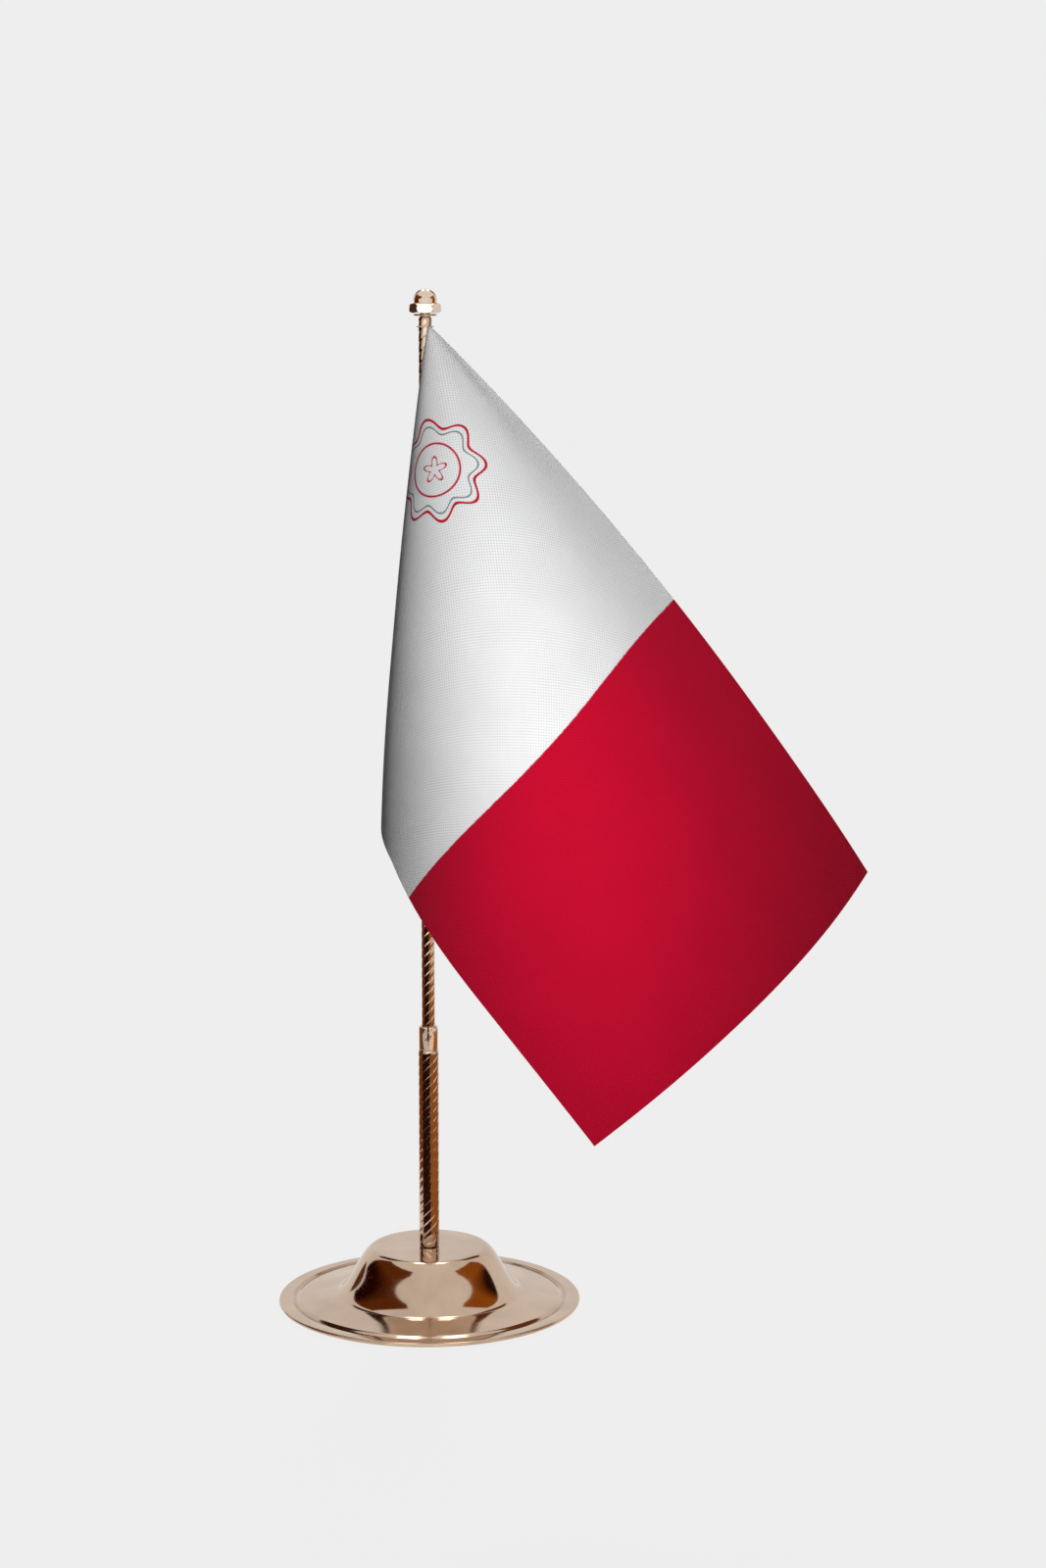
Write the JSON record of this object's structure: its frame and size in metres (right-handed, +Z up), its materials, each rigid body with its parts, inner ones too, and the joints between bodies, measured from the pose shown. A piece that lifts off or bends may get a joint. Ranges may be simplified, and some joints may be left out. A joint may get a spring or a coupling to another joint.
{
  "type": "table flag stand",
  "caption": "Weighted round base with a telescoping twist-fluted pole, hexagon acorn finial and a draped cloth flag, for a table top.",
  "frame": {"origin": "on the table, under the centre of the base", "axes": "+Z up along the pole, -Y towards the viewer of the flag's face, +X towards the fly of the flag"},
  "size_m": [0.1716, 0.1305, 0.3],
  "materials": {
    "pad_rubber": "matt foam rubber",
    "weight_iron": "rough cast",
    "plated_shell": "polished copper-coloured plating",
    "plated_pole": "polished copper-coloured plating on twisted flutes",
    "plated_ferrule": "bright polished plating",
    "plated_nut": "polished copper-coloured plating",
    "brass": "turned",
    "steel": "zinc plated",
    "flag_fabric": "knitted polyester, white half and red half",
    "tie_cord": "thin twisted cord"
  },
  "bodies": {
    "base": {"base_pad": "pad_rubber", "base_weight": "weight_iron", "base_shell": "plated_shell", "base_screw": "steel", "screw_washer": "steel", "lower_plug": "brass", "lower_tube": "plated_pole", "grip_ferrule": "plated_ferrule"},
    "slider": {"friction_bush": "brass"},
    "upper_pole": {"upper_tube": "plated_pole", "end_plug": "brass", "top_stud": "steel"},
    "nut_washer": {"finial_washer": "brass"},
    "finial": {"finial_nut": "plated_nut"},
    "flag": {"flag_cloth": "flag_fabric", "flag_upper_tie": "tie_cord", "flag_lower_tie": "tie_cord"}
  },
  "joints": [
    {"name": "pole_slide", "type": "slide", "parent": "base", "child": "slider", "axis": [0, 0, 1], "range_m": [-0.028, 0.01]},
    {"name": "pole_swivel", "type": "hinge", "parent": "slider", "child": "upper_pole", "pos_m": [0, 0, 0.0587], "axis": [0, 0, 1], "continuous": true},
    {"name": "flag_swivel", "type": "hinge", "parent": "upper_pole", "child": "flag", "pos_m": [0, 0, 0.29], "axis": [0, 0, 1], "continuous": true},
    {"name": "finial_lift", "type": "slide", "parent": "upper_pole", "child": "nut_washer", "axis": [0, 0, 1], "range_m": [0, 0.004]},
    {"name": "finial_turn", "type": "hinge", "parent": "nut_washer", "child": "finial", "pos_m": [0, 0, 0.2931], "axis": [0, 0, 1], "range_deg": [0, 2893]}
  ],
  "couplings": [
    {"joint": "finial_turn", "follows": "finial_lift", "rad_per_m": 12566}
  ]
}
